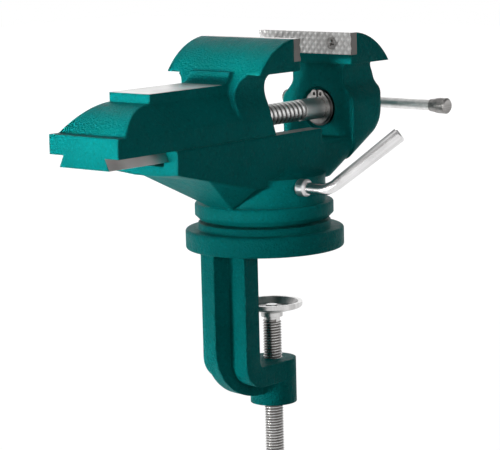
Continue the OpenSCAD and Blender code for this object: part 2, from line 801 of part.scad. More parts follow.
module moving_jaw() {
    screw_r = spindle_d / 2 + hollow_gap;
    color([0, 0.47, 0.45]) at_moving() difference() {
        union() {
            jaw_head();
            jaw_pillar(front_d, beam_slope_z - over, beam_hw - slice_t, pillar_corner_r)
                neck_front(beam_slope_z - over, beam_hw - slice_t, beam_slope_z, moving_neck_hw,
                    moving_neck_fillet, moving_neck_h);
            front_cove(front_d, moving_neck_hw, moving_neck_fillet);
            intersection() {
                along_y(2 * beam_hw) beam_side();
                along_x(front_low_d, tail_len) beam_section();
            }
            along_x(front_low_d, tail_len - front_low_d) difference() {
                dovetail(0);
                translate([-beam_hw, beam_z]) square([2 * beam_hw, 2 * over]);
            }
            anvil_root();
        }
        translate([0, 0, spindle_z]) rod_x(0, tunnel_end, 2 * screw_r);
        translate([0, -screw_r, 0]) cube([tunnel_end - screw_r, 2 * screw_r, spindle_z]);
        translate([nut_d, -nut_w / 2 - fit, 0]) cube([nut_len, nut_w + 2 * fit, nut_top_z + fit]);
        translate([nut_d + nut_len / 2, 0, pin_z])
            rod_y(-dovetail_bottom_hw - over, 2 * (dovetail_bottom_hw + over), nut_pin_d + 2 * fit);
    }
}

// Length of the main screw's thread, which fills the nut at the widest gap
spindle_thread_len = thread_end_x - fixed_face_x + jaw_gap_max + nut_d + nut_len + thread_spare;
// End of the hollow for the main screw behind the gripping face, clear of the screw when closed
tunnel_end = fixed_face_x - thread_end_x + spindle_thread_len + hollow_end;

// Hollow corner between the jaw's back and the anvil
module anvil_root() {
    r = anvil_root_r;
    foot = back_d + sqrt(jaw_back_r * jaw_back_r - (anvil_z - back_z) * (anvil_z - back_z));
    along_y(2 * anvil_hw) difference() {
        translate([foot - r, anvil_z - over]) square([2 * r, r + over]);
        translate([foot + r, anvil_z + r]) circle(r = r);
    }
}

module spindle_nut() {
    color("dimgray") at_moving() difference() {
        translate([nut_d, -nut_w / 2, nut_low_z]) cube([nut_len, nut_w, nut_top_z - nut_low_z]);
        translate([0, 0, spindle_z]) rod_x(nut_d - over, nut_len + 2 * over, spindle_root_d + 2 * fit);
        translate([nut_d + nut_len / 2, 0, pin_z]) rod_y(-nut_w, 2 * nut_w, nut_pin_d);
    }
}

module nut_pin() {
    half = dovetail_bottom_hw - pin_inset;
    color("silver") at_moving() translate([nut_d + nut_len / 2, 0, pin_z])
        rod_y(-half, 2 * half, nut_pin_d);
}

/* Main screw */

head_x = boss_back_x + seat_gap;
tommy_x = head_x + tommy_back;
ring_x = washer_x - seat_gap - ring_t;
ring_groove_d = spindle_d - 2 * ring_groove;

module spindle() {
    start = thread_end_x - spindle_thread_len;
    color("silver") translate([0, 0, spindle_z]) difference() {
        union() {
            rod_x(start + tip_len, spindle_thread_len - tip_len, spindle_root_d);
            translate([start, 0, 0]) rotate([0, 90, 0])
                cylinder(h = tip_len, d1 = spindle_root_d - 2 * tip_len, d2 = spindle_root_d);
            rod_x(thread_end_x, ring_x - thread_end_x, spindle_d);
            rod_x(ring_x, ring_t + 2 * fit, ring_groove_d);
            rod_x(ring_x + ring_t + 2 * fit, head_x - ring_x - ring_t - 2 * fit, spindle_d);
            rod_x(head_x, spindle_head_len - tip_len, spindle_head_d);
            translate([head_x + spindle_head_len - tip_len, 0, 0]) rotate([0, 90, 0])
                cylinder(h = tip_len, d1 = spindle_head_d, d2 = spindle_head_d - 2 * tip_len);
        }
        translate([tommy_x, 0, 0]) rod_y(-spindle_head_d, 2 * spindle_head_d, tommy_d + 2 * fit);
    }
}

module thrust_washer() {
    color("silver") translate([0, 0, spindle_z]) difference() {
        rod_x(washer_x, washer_t, washer_d);
        rod_x(washer_x - over, washer_t + 2 * over, spindle_d + 2 * fit);
    }
}

// Retaining ring with its gap and two ears
module retaining_ring() {
    ear = 2.6;
    ear_hole = 1.1;
    ear_angle = 16;
    ear_at = ring_d / 2 - ear / 3;
    color("dimgray") translate([ring_x + fit, 0, spindle_z]) rotate([90, 0, 90]) linear_extrude(ring_t) {
        difference() {
            union() {
                circle(d = ring_d);
                for (side = [-1, 1]) rotate(side * ear_angle) translate([0, ear_at])
                    circle(r = ear, $fn = small_fn);
            }
            circle(d = ring_groove_d);
            polygon([[0, 0], polar([0, 0], ring_d, 90 - ear_angle / 3),
                polar([0, 0], ring_d, 90 + ear_angle / 3)]);
            for (side = [-1, 1]) rotate(side * ear_angle) translate([0, ear_at])
                circle(r = ear_hole, $fn = small_fn);
        }
    }
}

/* Tommy bars */

// Share of a knob's length that has its full diameter
knob_share = 0.45;

// A sliding bar with turned-down ends, along Y about its middle
module sliding_bar(length, d) {
    rod_y(-length / 2 + knob_len / 2, length - knob_len, d);
}

// The two knobs of a bar, waisted towards the middle
module bar_knobs(length, d) {
    full = knob_len * knob_share;
    for (side = [-1, 1]) mirror([0, side > 0 ? 1 : 0, 0]) translate([0, -length / 2, 0])
        rotate([-90, 0, 0]) rotate_extrude() difference() {
            polygon(concat([[0, 0], [knob_d / 2 - tip_len, 0], [knob_d / 2, tip_len]],
                s_curve([knob_d / 2, full], [d / 2 + knob_wall, knob_len]), [[0, knob_len]]));
            translate([-over, knob_len / 2]) square([d / 2 + fit / 2 + over, knob_len]);
        }
}

module tommy_bar() {
    color("silver") translate([tommy_x, tommy_shift, spindle_z]) sliding_bar(tommy_len, tommy_d);
}

module tommy_knobs() {
    color("silver") translate([tommy_x, tommy_shift, spindle_z]) bar_knobs(tommy_len, tommy_d);
}

/* Swivel lock */

// Where the lever leaves its collar
lever_y = collar_y + collar_len;
plug_y = sqrt(spigot_r * spigot_r - lock_x * lock_x);

module lock_screw() {
    color("silver") translate([-lock_x, 0, lock_z]) {
        rod_y(-collar_y - collar_len + tip_len, collar_len - tip_len - seat_gap, collar_d);
        translate([0, -collar_y - collar_len, 0]) rotate([-90, 0, 0])
            cylinder(h = tip_len, d1 = collar_d - 2 * tip_len, d2 = collar_d);
        rod_y(-collar_y - seat_gap, collar_y - plug_y - plug_len, lock_d);
    }
}

// Bent lever, thicker towards its free end
module lock_lever() {
    // Step from the bend up to the arm
    step_t = 0.15;
    arm = [lever_reach_x, -lever_reach_y, lever_rise];
    arm_len = norm(arm);
    turn = acos(lever_reach_y / arm_len);
    tilt = atan2(lever_rise, lever_reach_x);
    cut = bend_r * tan(turn / 2);
    color("silver") translate([-lock_x, -lever_y, lock_z]) rotate([0, -tilt, 0]) {
        rod_y(-lever_foot + cut, lever_foot - cut, lever_d);
        translate([bend_r, -lever_foot + cut, 0]) rotate([0, 0, 180]) rotate_extrude(angle = turn)
            translate([bend_r, 0]) circle(d = lever_d, $fn = $fn / 2);
        translate([0, -lever_foot, 0]) rotate([0, 0, turn]) translate([0, -cut, 0]) rotate([90, 0, 0]) {
            cylinder(h = arm_len - cut - tip_len, d1 = lever_d + 2 * step_t, d2 = lever_end_d);
            translate([0, 0, arm_len - cut - tip_len])
                cylinder(h = tip_len, d1 = lever_end_d, d2 = lever_end_d - 2 * tip_len);
        }
    }
}

module lock_plug() {
    color("goldenrod") difference() {
        translate([-lock_x, 0, lock_z]) rod_y(-plug_y - plug_len, plug_len + lock_d, lock_d);
        translate([0, 0, lock_z - lock_d]) cylinder(h = 2 * lock_d, r = spigot_r + fit);
        translate([-lock_x - lock_d, 0, lock_z - lock_d]) cube(2 * lock_d);
    }
}

/* Clamp screw */

pad_rim_z = -table_t;
pad_low_z = pad_rim_z - pad_h;
clamp_head_z = pad_low_z - clamp_shank_len;
clamp_bar_z = clamp_head_z - clamp_head_len / 2;
dish_floor_z = pad_rim_z - dish_depth;

// Puts children on the clamp screw's axis
module at_clamp() {
    rotate([0, 0, -clamp_swing]) translate([clamp_x, 0, 0]) children();
}

module clamp_screw() {
    color("silver") at_clamp() difference() {
        union() {
            translate([0, 0, pad_low_z])
                cylinder(h = dish_floor_z + clip_t + tip_len - pad_low_z, d = pad_spigot_d);
            translate([0, 0, clamp_head_z]) cylinder(h = clamp_shank_len, d = clamp_root_d);
            translate([0, 0, clamp_head_z - clamp_head_len + tip_len])
                cylinder(h = clamp_head_len - tip_len, d = clamp_head_d);
            translate([0, 0, clamp_head_z - clamp_head_len])
                cylinder(h = tip_len, d1 = clamp_head_d - 2 * tip_len, d2 = clamp_head_d);
        }
        translate([0, 0, clamp_bar_z]) rod_y(-clamp_head_d, 2 * clamp_head_d, tommy_d + 2 * fit);
    }
}

// Dished pad with a short neck
module clamp_pad() {
    wall = pad_wall;
    color("gainsboro") at_clamp() translate([0, 0, seat_gap]) rotate_extrude() polygon([
        [pad_spigot_d / 2 + fit, pad_low_z], [pad_neck_r, pad_low_z], [pad_neck_r, pad_low_z + wall],
        [pad_r - tip_len, pad_rim_z - wall - tip_len], [pad_r, pad_rim_z - wall],
        [pad_r, pad_rim_z - seat_gap], [pad_r - wall, pad_rim_z - seat_gap],
        [pad_r - 2 * wall, dish_floor_z], [pad_spigot_d / 2 + fit, dish_floor_z]]);
}

// Push-on clip that keeps the pad on the screw
module pad_clip() {
    color("dimgray") at_clamp() translate([0, 0, dish_floor_z + 2 * seat_gap]) difference() {
        cylinder(h = clip_t, d = clip_d);
        translate([0, 0, -over]) cylinder(h = clip_t + 2 * over, d = pad_spigot_d);
    }
}

module clamp_bar() {
    color("silver") at_clamp() translate([0, 0, clamp_bar_z]) sliding_bar(clamp_bar_len, tommy_d);
}

module clamp_bar_knobs() {
    color("silver") at_clamp() translate([0, 0, clamp_bar_z]) bar_knobs(clamp_bar_len, tommy_d);
}

clamp_base();
pivot_bolt();
pivot_washer();
pivot_nut();
swivel_body();
fixed_jaw_plate();
fixed_plate_screws();
thrust_washer();
moving_jaw();
moving_jaw_plate();
moving_plate_screws();
spindle_nut();
nut_pin();
spindle();
retaining_ring();
tommy_bar();
tommy_knobs();
lock_screw();
lock_lever();
lock_plug();
clamp_screw();
clamp_pad();
pad_clip();
clamp_bar();
clamp_bar_knobs();
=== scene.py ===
import math

import bmesh
import bpy
from mathutils import Matrix, Vector
from mathutils.geometry import tessellate_polygon


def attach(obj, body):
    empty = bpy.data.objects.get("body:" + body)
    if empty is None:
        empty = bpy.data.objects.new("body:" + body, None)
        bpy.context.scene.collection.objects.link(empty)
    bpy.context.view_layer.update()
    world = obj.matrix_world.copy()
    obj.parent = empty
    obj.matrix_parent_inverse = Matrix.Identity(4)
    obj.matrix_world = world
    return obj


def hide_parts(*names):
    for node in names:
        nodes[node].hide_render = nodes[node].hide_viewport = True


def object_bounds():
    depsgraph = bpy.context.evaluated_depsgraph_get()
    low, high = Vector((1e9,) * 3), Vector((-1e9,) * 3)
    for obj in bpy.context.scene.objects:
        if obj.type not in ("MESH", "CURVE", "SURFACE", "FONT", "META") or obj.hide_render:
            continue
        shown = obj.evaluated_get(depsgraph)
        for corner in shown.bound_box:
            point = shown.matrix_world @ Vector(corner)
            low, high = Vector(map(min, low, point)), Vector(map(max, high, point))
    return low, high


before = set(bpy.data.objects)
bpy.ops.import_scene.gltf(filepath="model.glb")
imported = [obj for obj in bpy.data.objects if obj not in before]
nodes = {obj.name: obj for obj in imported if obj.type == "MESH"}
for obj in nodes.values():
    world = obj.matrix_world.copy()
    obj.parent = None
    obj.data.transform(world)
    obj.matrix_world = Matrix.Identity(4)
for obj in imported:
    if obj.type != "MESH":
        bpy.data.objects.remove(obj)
cad_low, cad_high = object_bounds()

# Lengths are in metres. Those of the part are written as millimetres times MM, in the part's frame
MM = 0.001

# Main screw, along X: its axis height and its thread, with the share of a pitch that its crest takes, and
# the radii between which the painted shade in its roots fades out
SPINDLE_Z = 81.9 * MM
MAIN_START_X = -79 * MM
MAIN_LENGTH = 116 * MM
MAIN_PITCH = 4 * MM
MAIN_ROOT = 5.72 * MM
MAIN_CREST = 6.75 * MM
MAIN_CREST_SHARE = 0.25
MAIN_SHADE_RADII = (5.75 * MM, 6.5 * MM)

# Clamp screw, along Z: the place of its axis and its thread, in the same terms
CLAMP_SWING = math.radians(8)
CLAMP_OFF = 4.2 * MM
CLAMP_XY = (CLAMP_OFF * math.cos(CLAMP_SWING), -CLAMP_OFF * math.sin(CLAMP_SWING))
CLAMP_START_Z = -141 * MM
CLAMP_LENGTH = 94 * MM
CLAMP_PITCH = 1.75 * MM
CLAMP_ROOT = 5.12 * MM
CLAMP_CREST = 6 * MM
CLAMP_CREST_SHARE = 0.15
CLAMP_SHADE_RADII = (5.15 * MM, 5.8 * MM)

# Both threads: steps in a turn, the turns over which they run out at their ends, the share of a pitch that
# the root takes, and how much of the root's colour is painted shade
THREAD_STEPS = 40
THREAD_FADE = 1 / 3
ROOT_SHARE = 0.15
ROOT_SHADE = 0.95

# Plate screws, in millimetres: each plate's face, the screws' places, and the turn of their crosses
FIXED_FACE_X = 42.5
MOVING_FACE_X = -6.1
SCREW_Y = 22
SCREW_Z = 124.7
SCREW_TURNS = ((-1, 0.35), (1, 1.0))
SCREW_STEPS = 48
# Radius and depth of the screw's rings, from its head's rim to its end
SCREW_RINGS = ((3.92, 0.08), (3.8, 0.3), (2.0, 2.0), (2.0, 15.5), (1.5, 16.0))
# Half width, half length and depth of the cross at its mouth, below it, and at its bottom
CROSS_LEVELS = ((0.75, 2.5, 0.08), (0.62, 2.1, 0.4), (0.35, 0.8, 1.9))
CROSS_CORNERS = 12


def linear(r, g, b):
    """A colour given in 8-bit display values, as the linear colour that shaders take."""
    def one(v):
        v /= 255
        return v / 12.92 if v <= 0.04045 else ((v + 0.055) / 1.055) ** 2.4
    return (one(r), one(g), one(b), 1)


# Cosines between a face's normal and the rounded one: where an edge starts, and where it is full
EDGE_TURN = (0.98, 0.8)
BEVEL_SAMPLES = 6


class Tree:
    """A node tree, and short ways to add nodes to it."""

    def __init__(self, tree):
        self.tree = tree

    def add(self, kind, values=None, **settings):
        node = self.tree.nodes.new(kind)
        for key, value in settings.items():
            setattr(node, key, value)
        for key, value in (values or {}).items():
            self.feed(node.inputs[key], value)
        return node

    def feed(self, socket, value):
        if isinstance(value, bpy.types.NodeSocket):
            self.tree.links.new(value, socket)
        else:
            socket.default_value = value

    def math(self, operation, a, b=0.0, c=None):
        values = {0: a, 1: b}
        if c is not None:
            values[2] = c
        return self.add("ShaderNodeMath", values, operation=operation).outputs[0]

    def band(self, value, low, high, out_low=0.0, out_high=1.0, easing="LINEAR"):
        node = self.add("ShaderNodeMapRange", {"Value": value, "From Min": low, "From Max": high,
                                               "To Min": out_low, "To Max": out_high},
                        interpolation_type=easing)
        return node.outputs[0]

    def seen(self):
        """1 for camera, glossy and transmission rays."""
        path = self.add("ShaderNodeLightPath").outputs
        glossy_too = self.math("MAXIMUM", path["Is Camera Ray"], path["Is Glossy Ray"])
        return self.math("MAXIMUM", glossy_too, path["Is Transmission Ray"])


class Shader(Tree):
    """A material with one glossy shader."""

    def __init__(self, name, **inputs):
        self.mat = bpy.data.materials.new(name)
        self.mat.use_nodes = True
        super().__init__(self.mat.node_tree)
        self.bsdf = self.tree.nodes["Principled BSDF"]
        for key, value in inputs.items():
            self.feed(self.bsdf.inputs[key.replace("_", " ")], value)
        self.place = self.add("ShaderNodeTexCoord").outputs["Object"]

    def axis(self, letter):
        return self.add("ShaderNodeSeparateXYZ", {0: self.place}).outputs[letter]

    def noise(self, scale, detail=3, roughness=0.5, vector=None):
        node = self.add("ShaderNodeTexNoise", {"Vector": vector or self.place, "Scale": scale,
                                               "Detail": detail, "Roughness": roughness})
        return node.outputs[0]

    def mix(self, factor, a, b):
        node = self.add("ShaderNodeMix", data_type="RGBA")
        self.feed(node.inputs[0], factor)
        self.feed(node.inputs[6], a)
        self.feed(node.inputs[7], b)
        return node.outputs[2]

    def blend(self, mask, a, b):
        """A number that is a where the mask is 0 and b where it is 1."""
        return self.math("MULTIPLY_ADD", self.math("SUBTRACT", b, a), mask, a)

    def rounded(self, radius):
        """The normal, as if edges had a radius."""
        return self.add("ShaderNodeBevel", {"Radius": radius}, samples=BEVEL_SAMPLES).outputs[0]

    def edges(self, radius):
        """A mask of the sharp edges, from how far a rounded edge's normal turns away."""
        flat = self.add("ShaderNodeNewGeometry").outputs["Normal"]
        dot = self.add("ShaderNodeVectorMath", {0: self.rounded(radius), 1: flat}, operation="DOT_PRODUCT")
        return self.band(dot.outputs["Value"], *EDGE_TURN)

    def inside(self, **limits):
        """A mask of the places between limits on their axes, where None is no limit."""
        out = None
        for letter, ends in limits.items():
            for operation, limit in zip(("GREATER_THAN", "LESS_THAN"), ends):
                if limit is not None:
                    mask = self.math(operation, self.axis(letter), limit)
                    out = mask if out is None else self.math("MULTIPLY", out, mask)
        return out

    def bump(self, height, distance, radius, strength=1.0):
        """Relief, over edges that are shaded round."""
        node = self.add("ShaderNodeBump", {"Height": height, "Distance": distance,
                                           "Strength": strength, "Normal": self.rounded(radius)})
        self.feed(self.bsdf.inputs["Normal"], node.outputs[0])


# Enamel: two tones of its body, its specks, its lighter edges (worn paint and a painted highlight) and its
# sheen
ENAMEL_TONES = (linear(0, 125, 124), linear(1, 139, 138))
ENAMEL_LIGHT = linear(8, 170, 168)
ENAMEL_DARK = linear(0, 91, 91)
ENAMEL_EDGE_WEAR_HIGHLIGHT = linear(50, 184, 180)
ENAMEL_SHEEN = linear(90, 225, 214)
ENAMEL_ROUGHNESS = (0.36, 0.5)
# Features per metre of the enamel's tone, its dents, its grain and its pits
TONE_SCALE = 24
DENT_SCALE = 110
GRAIN_SCALE = 520
PIT_SCALE = 900
# Most of a noise lies between these levels
MOST = (0.3, 0.7)
# A pit starts at the first level of its noise and is full at the second
PIT_LEVELS = (0.62, 0.75)
# Between the first two levels of the grain, specks go from the third to the fourth share
LIGHT_SPECKS = (0.56, 0.74, 0, 0.5)
DARK_SPECKS = (0.26, 0.44, 0.5, 0)
# Edges take a lighter colour, worn paint and a painted highlight along them, within this radius and by
# this share
EDGE_RADIUS = 1 * MM
EDGE_WEAR_HIGHLIGHT_SHARE = 0.65
# What dents, grain and pits add to the relief
DENT_HEIGHT = 0.9
GRAIN_HEIGHT = 1.3
PIT_HEIGHT = -0.3
# Depth of the whole relief, on the base and on the two castings with bare faces
BASE_RELIEF = 0.9 * MM
JAW_RELIEF = 0.48 * MM
# Radii at which edges are shaded round: on the base, and on the others, painted and bare
BASE_ROUND = 2.2 * MM
PAINT_ROUND = 3 * MM
BARE_ROUND = 0.4 * MM
# Bare iron: two tones in large patches, uneven tone and also a painted reflection gradient, and marks of
# machining along Y
BARE_TONES = (linear(148, 146, 145), linear(186, 184, 183))
BARE_TONE_LEVELS = (0.4, 0.6)
BARE_SCALE = 26
BARE_ROUGHNESS = 0.33
MARK_SCALE = 900
MARK_STRETCH = (1, 0.02, 1)
MARK_HEIGHT = 0.1


def paint(name, machined=None):
    """Teal enamel over a rough casting; machined(shader) gives a mask of the bare faces."""
    s = Shader(name, Specular_IOR_Level=0.03, Sheen_Weight=0.06, Sheen_Roughness=0.35,
               Sheen_Tint=ENAMEL_SHEEN)
    grain = s.noise(GRAIN_SCALE, roughness=0.65)
    pits = s.band(s.noise(PIT_SCALE, detail=1), *PIT_LEVELS)
    dents = s.noise(DENT_SCALE)
    colour = s.mix(s.band(s.noise(TONE_SCALE), *MOST), *ENAMEL_TONES)
    colour = s.mix(s.band(grain, *LIGHT_SPECKS), colour, ENAMEL_LIGHT)
    colour = s.mix(s.band(grain, *DARK_SPECKS), colour, ENAMEL_DARK)
    # Edges lightened: worn paint and a painted highlight along them
    colour = s.mix(s.math("MULTIPLY", s.edges(EDGE_RADIUS), EDGE_WEAR_HIGHLIGHT_SHARE), colour, ENAMEL_EDGE_WEAR_HIGHLIGHT)
    rough = s.band(dents, *MOST, *ENAMEL_ROUGHNESS)
    height = s.math("MULTIPLY", pits, PIT_HEIGHT)
    height = s.math("MULTIPLY_ADD", grain, GRAIN_HEIGHT, height)
    height = s.math("MULTIPLY_ADD", dents, DENT_HEIGHT, height)
    if machined is None:
        s.feed(s.bsdf.inputs["Base Color"], colour)
        s.feed(s.bsdf.inputs["Roughness"], rough)
        s.bump(height, BASE_RELIEF, BASE_ROUND)
        return s.mat
    mask = machined(s)
    # Large lighter and darker patches of bare iron: uneven tone and also a painted reflection gradient
    tone_and_painted_reflection = s.band(s.noise(BARE_SCALE, detail=2, roughness=0.55), *BARE_TONE_LEVELS)
    bare = s.mix(tone_and_painted_reflection, *BARE_TONES)
    along_y = s.add("ShaderNodeMapping", {"Vector": s.place, "Scale": MARK_STRETCH}).outputs[0]
    marks = s.math("MULTIPLY", s.noise(MARK_SCALE, detail=2, vector=along_y), MARK_HEIGHT)
    s.feed(s.bsdf.inputs["Base Color"], s.mix(mask, colour, bare))
    s.feed(s.bsdf.inputs["Metallic"], mask)
    s.feed(s.bsdf.inputs["Roughness"], s.blend(mask, rough, BARE_ROUGHNESS))
    s.bump(s.blend(mask, height, marks), JAW_RELIEF, s.blend(mask, PAINT_ROUND, BARE_ROUND))
    return s.mat


# The bare faces: the anvil's top, the moving jaw's slide, and the body's rails
ANVIL_TOP_Z = (106.35 * MM, 106.7 * MM)
ANVIL_END_X = -55 * MM
SLIDE_TOP_Z = 73.4 * MM
NOSE_FACE_X = -155.9 * MM
RAIL_TOP_Z = (73.05 * MM, 73.25 * MM)
RAIL_LOW_Z = 64.5 * MM
RAIL_OUTSIDE = 27.2 * MM
RAIL_INSIDE = 20.6 * MM
RAIL_START_X = -106.8 * MM
RAIL_END_X = 26 * MM


def moving_machined(s):
    """The anvil's top, and the dovetail with the beam's underside but not its end face."""
    anvil = s.inside(X=(None, ANVIL_END_X), Z=ANVIL_TOP_Z)
    slide = s.inside(X=(NOSE_FACE_X, None), Y=(-RAIL_OUTSIDE, RAIL_OUTSIDE), Z=(None, SLIDE_TOP_Z))
    return s.math("MAXIMUM", anvil, slide)


def body_machined(s):
    """The rails, on top and inside."""
    top = s.inside(X=(None, RAIL_END_X), Y=(-RAIL_OUTSIDE, RAIL_OUTSIDE), Z=RAIL_TOP_Z)
    way = s.inside(X=(RAIL_START_X, RAIL_END_X), Y=(-RAIL_INSIDE, RAIL_INSIDE),
                   Z=(RAIL_LOW_Z, RAIL_TOP_Z[1]))
    return s.math("MAXIMUM", top, way)


# Directions in which metal was drawn or turned
ALONG_X = (1, 0, 0)
ALONG_Y = (0, 1, 0)
ALONG_Z = (0, 0, 1)
ALONG_LEVER = (29, -32.5, 33)
# How little drawn marks change along their direction, and their depth
DRAWN_CHANGE = 0.03
DRAWN_DEPTH = 0.04 * MM
METAL_ROUND = 0.3 * MM
# Streaks and blotches make the tone, drawn marks and uneven tone and also painted reflection bands, and
# blotches make the metal rougher
BLOTCH_SCALE = 45
BLOTCH_SHARE = 0.35
BLOTCH_LEVELS = (0.35, 0.65)
BLOTCH_ROUGHNESS = 0.1
TONE_LEVELS = (0.36, 0.64)
DULL_ROUGHNESS = 0.3
# Colours of the jaw plates' darker ends with the painted shade in their grooves, and of the painted shade
# in the threads' roots
PLATE_END_AND_GROOVE_SHADE = linear(118, 116, 114)
MAIN_ROOT_SHADE = linear(66, 62, 59)
CLAMP_ROOT_SHADE = linear(100, 96, 93)

# Jaw plates: the middle between them, how far from it their teeth's crests, the grooves and the plates'
# plain part are, and how much painted shade a groove gets. Their sawn ends lie beyond PLATE_END_Y
PLATES_X = 18.2 * MM
TEETH = (24.35 * MM, 24.8 * MM, 25.25 * MM)
GROOVE_SHADE = 0.3
PLATE_END_Y = 37.42 * MM


def plate_ends_and_groove_shade(s):
    """A mask of the jaw plates' ends, which are made darker, and of the grooves between their teeth, which
    get painted shade.
    """
    ends = s.math("GREATER_THAN", s.math("ABSOLUTE", s.axis("Y")), PLATE_END_Y)
    from_middle = s.math("ABSOLUTE", s.math("SUBTRACT", s.axis("X"), PLATES_X))
    crest, groove, plain = TEETH
    grooves = s.math("MULTIPLY", s.band(from_middle, crest, groove),
                     s.math("LESS_THAN", from_middle, plain))
    return s.math("MAXIMUM", ends, s.math("MULTIPLY", grooves, GROOVE_SHADE))


def below_radius(root, crest, centre, axes):
    """A mask of painted shade that fades in from a thread's crest to its root, about an axis through
    centre.
    """
    def mask(s):
        squares = [s.math("POWER", s.math("ABSOLUTE", s.math("SUBTRACT", s.axis(letter), c)), 2)
                   for letter, c in zip(axes, centre)]
        radius = s.math("SQRT", s.math("ADD", *squares))
        return s.band(radius, root, crest, ROOT_SHADE, 0)
    return mask


def metal(name, dark, light, rough, along=ALONG_Y, scale=160, depth=DRAWN_DEPTH, darkened=None,
          darkened_colour=None):
    """Bare or plated metal, drawn along a direction, with uneven tone and fine marks; the streaks and
    blotches of its tone are also painted reflection bands.

    dark and light are its tones in display values, and scale is its streaks per metre.
    darkened(shader) gives a mask of the places that are darker and duller, the jaw plates' ends and the
    painted shade in grooves and thread roots, and darkened_colour is their colour.
    """
    s = Shader(name, Metallic=1.0)
    w = Vector(along).normalized()
    u = w.orthogonal().normalized()
    v = w.cross(u)
    drawn = [s.add("ShaderNodeVectorMath", {0: s.place, 1: tuple(axis * share)}, operation="DOT_PRODUCT")
             for axis, share in ((u, 1), (v, 1), (w, DRAWN_CHANGE))]
    parts = {i: node.outputs["Value"] for i, node in enumerate(drawn)}
    place = s.add("ShaderNodeCombineXYZ", parts).outputs[0]
    # Streaks along the draw: drawn marks and also painted reflection bands
    drawn_streaks_and_reflections = s.noise(scale, roughness=0.6, vector=place)
    blotches = s.noise(BLOTCH_SCALE, detail=2)
    tone_and_painted_reflection = s.blend(BLOTCH_SHARE, drawn_streaks_and_reflections, blotches)
    colour = s.mix(s.band(tone_and_painted_reflection, *TONE_LEVELS), linear(*dark), linear(*light))
    roughness = s.band(blotches, *BLOTCH_LEVELS, rough, rough + BLOTCH_ROUGHNESS)
    # Darker places: painted shade in grooves and thread roots, and the plates' darker ends
    if darkened is not None:
        mask = darkened(s)
        colour = s.mix(mask, colour, darkened_colour)
        roughness = s.math("MULTIPLY_ADD", mask, DULL_ROUGHNESS, roughness)
    s.feed(s.bsdf.inputs["Base Color"], colour)
    s.feed(s.bsdf.inputs["Roughness"], roughness)
    s.bump(s.noise(scale * 6, detail=2, vector=place), depth, METAL_ROUND, strength=0.5)
    return s.mat


def dress(mat, *names):
    """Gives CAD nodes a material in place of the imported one."""
    for name in names:
        data = nodes[name].data
        data.materials.clear()
        data.materials.append(mat)


dress(paint("enamel"), "clamp_base")
dress(paint("enamel_moving", moving_machined), "moving_jaw")
dress(paint("enamel_body", body_machined), "swivel_body")
dress(metal("chrome", (186, 185, 185), (240, 239, 239), 0.34),
      "clamp_bar", "clamp_bar_knobs", "lock_screw")
dress(metal("lever_chrome", (205, 204, 204), (250, 249, 249), 0.24, ALONG_LEVER, scale=230),
      "lock_lever")
dress(metal("plated_steel", (186, 185, 184), (228, 227, 226), 0.34),
      "clamp_screw", "pivot_bolt", "pivot_washer", "pivot_nut", "nut_pin")
dress(metal("screw_steel", (222, 221, 220), (250, 249, 248), 0.4, ALONG_X), "spindle", "tommy_bar")
dress(metal("pad_steel", (172, 171, 170), (225, 224, 223), 0.3, ALONG_Z), "clamp_pad")
# Jaw plates: darker ends, and painted shade in the grooves between the teeth
dress(metal("plate_steel", (218, 217, 216), (244, 243, 242), 0.42, ALONG_Z, scale=300,
            depth=0.06 * MM, darkened=plate_ends_and_groove_shade, darkened_colour=PLATE_END_AND_GROOVE_SHADE),
      "fixed_jaw_plate", "moving_jaw_plate")
# Dark steel: on the thrust washer its darkness is painted shade of the washer's seat
dress(metal("phosphated_steel_and_seat_shade", (96, 95, 94), (140, 139, 138), 0.3), "thrust_washer", "pad_clip")
dress(metal("brass", (170, 132, 60), (206, 168, 92), 0.25), "lock_plug")
dress(metal("iron", (82, 81, 80), (112, 110, 108), 0.45, ALONG_X, scale=90, depth=0.1 * MM),
      "spindle_nut")
zinc = metal("screw_zinc", (120, 118, 116), (176, 174, 172), 0.34, ALONG_X, scale=400)
dress(zinc, "retaining_ring", "tommy_knobs")
# Both threads get painted shade in their roots
main_steel = metal("main_thread", (215, 214, 213), (248, 247, 246), 0.34, ALONG_X,
                   darkened=below_radius(*MAIN_SHADE_RADII, (0, SPINDLE_Z), "YZ"), darkened_colour=MAIN_ROOT_SHADE)
clamp_steel = metal("clamp_thread", (195, 194, 193), (240, 239, 238), 0.16, ALONG_Z,
                    darkened=below_radius(*CLAMP_SHADE_RADII, CLAMP_XY, "XY"), darkened_colour=CLAMP_ROOT_SHADE)


def mesh_piece(name, points, faces, mat, body):
    """A new piece of the visual model, in the part's frame, riding on a body."""
    data = bpy.data.meshes.new(name)
    data.from_pydata([tuple(p) for p in points], [], faces)
    data.materials.append(mat)
    for polygon in data.polygons:
        polygon.use_smooth = False
    piece = bpy.data.objects.new(name, data)
    bpy.context.scene.collection.objects.link(piece)
    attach(piece, body)
    return piece


def cross(half_width, half_length, turn):
    """The outline of a cross recess, anticlockwise."""
    corner = ((half_length, -half_width), (half_length, half_width), (half_width, half_width))
    out = []
    for quarter in range(4):
        c, n = math.cos(turn + quarter * math.pi / 2), math.sin(turn + quarter * math.pi / 2)
        out += [(c * u - n * v, n * u + c * v) for u, v in corner]
    return out


def circle(radius):
    """The outline of a screw's ring, anticlockwise."""
    angles = [2 * math.pi * k / SCREW_STEPS for k in range(SCREW_STEPS)]
    return [(radius * math.cos(a), radius * math.sin(a)) for a in angles]


def wall(first, count, rows):
    """Faces between rows of count points each, and one that closes the last row."""
    faces = []
    for row in range(rows - 1):
        for k in range(count):
            a, b = first + row * count + k, first + row * count + (k + 1) % count
            faces.append((a, b, b + count, a + count))
    faces.append(tuple(first + (rows - 1) * count + k for k in range(count)))
    return faces


